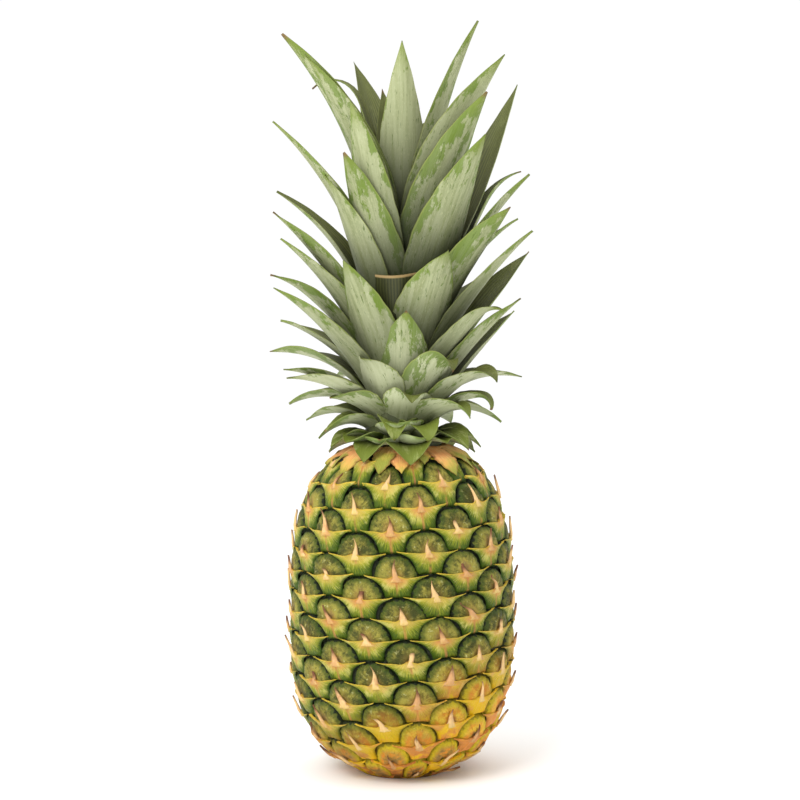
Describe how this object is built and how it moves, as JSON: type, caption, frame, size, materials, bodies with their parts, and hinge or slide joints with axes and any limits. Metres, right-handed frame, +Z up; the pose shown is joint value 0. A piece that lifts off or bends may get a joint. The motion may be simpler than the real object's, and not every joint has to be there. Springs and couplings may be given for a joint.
{
  "type": "pineapple",
  "caption": "Whole fresh pineapple standing on its cut base, with spirals of rough eyes, dry tips and a tall leafy crown.",
  "frame": {"origin": "centre of the flat cut face of the stalk, which the fruit stands on", "axes": "+Z up along the fruit to the crown, -Y the side seen in the picture, +X to its right"},
  "size_m": [0.1359, 0.1247, 0.3764],
  "materials": {
    "rind": "waxy rough rind, green and yellow",
    "leaf": "waxy silvery green leaf",
    "dry_bract": "papery, orange and tan",
    "stalk_fibre": "dry fibrous cut"
  },
  "bodies": {
    "root": {"fruit": "rind", "crown": "leaf", "collar": "dry_bract", "cut_stalk": "stalk_fibre"}
  },
  "joints": []
}
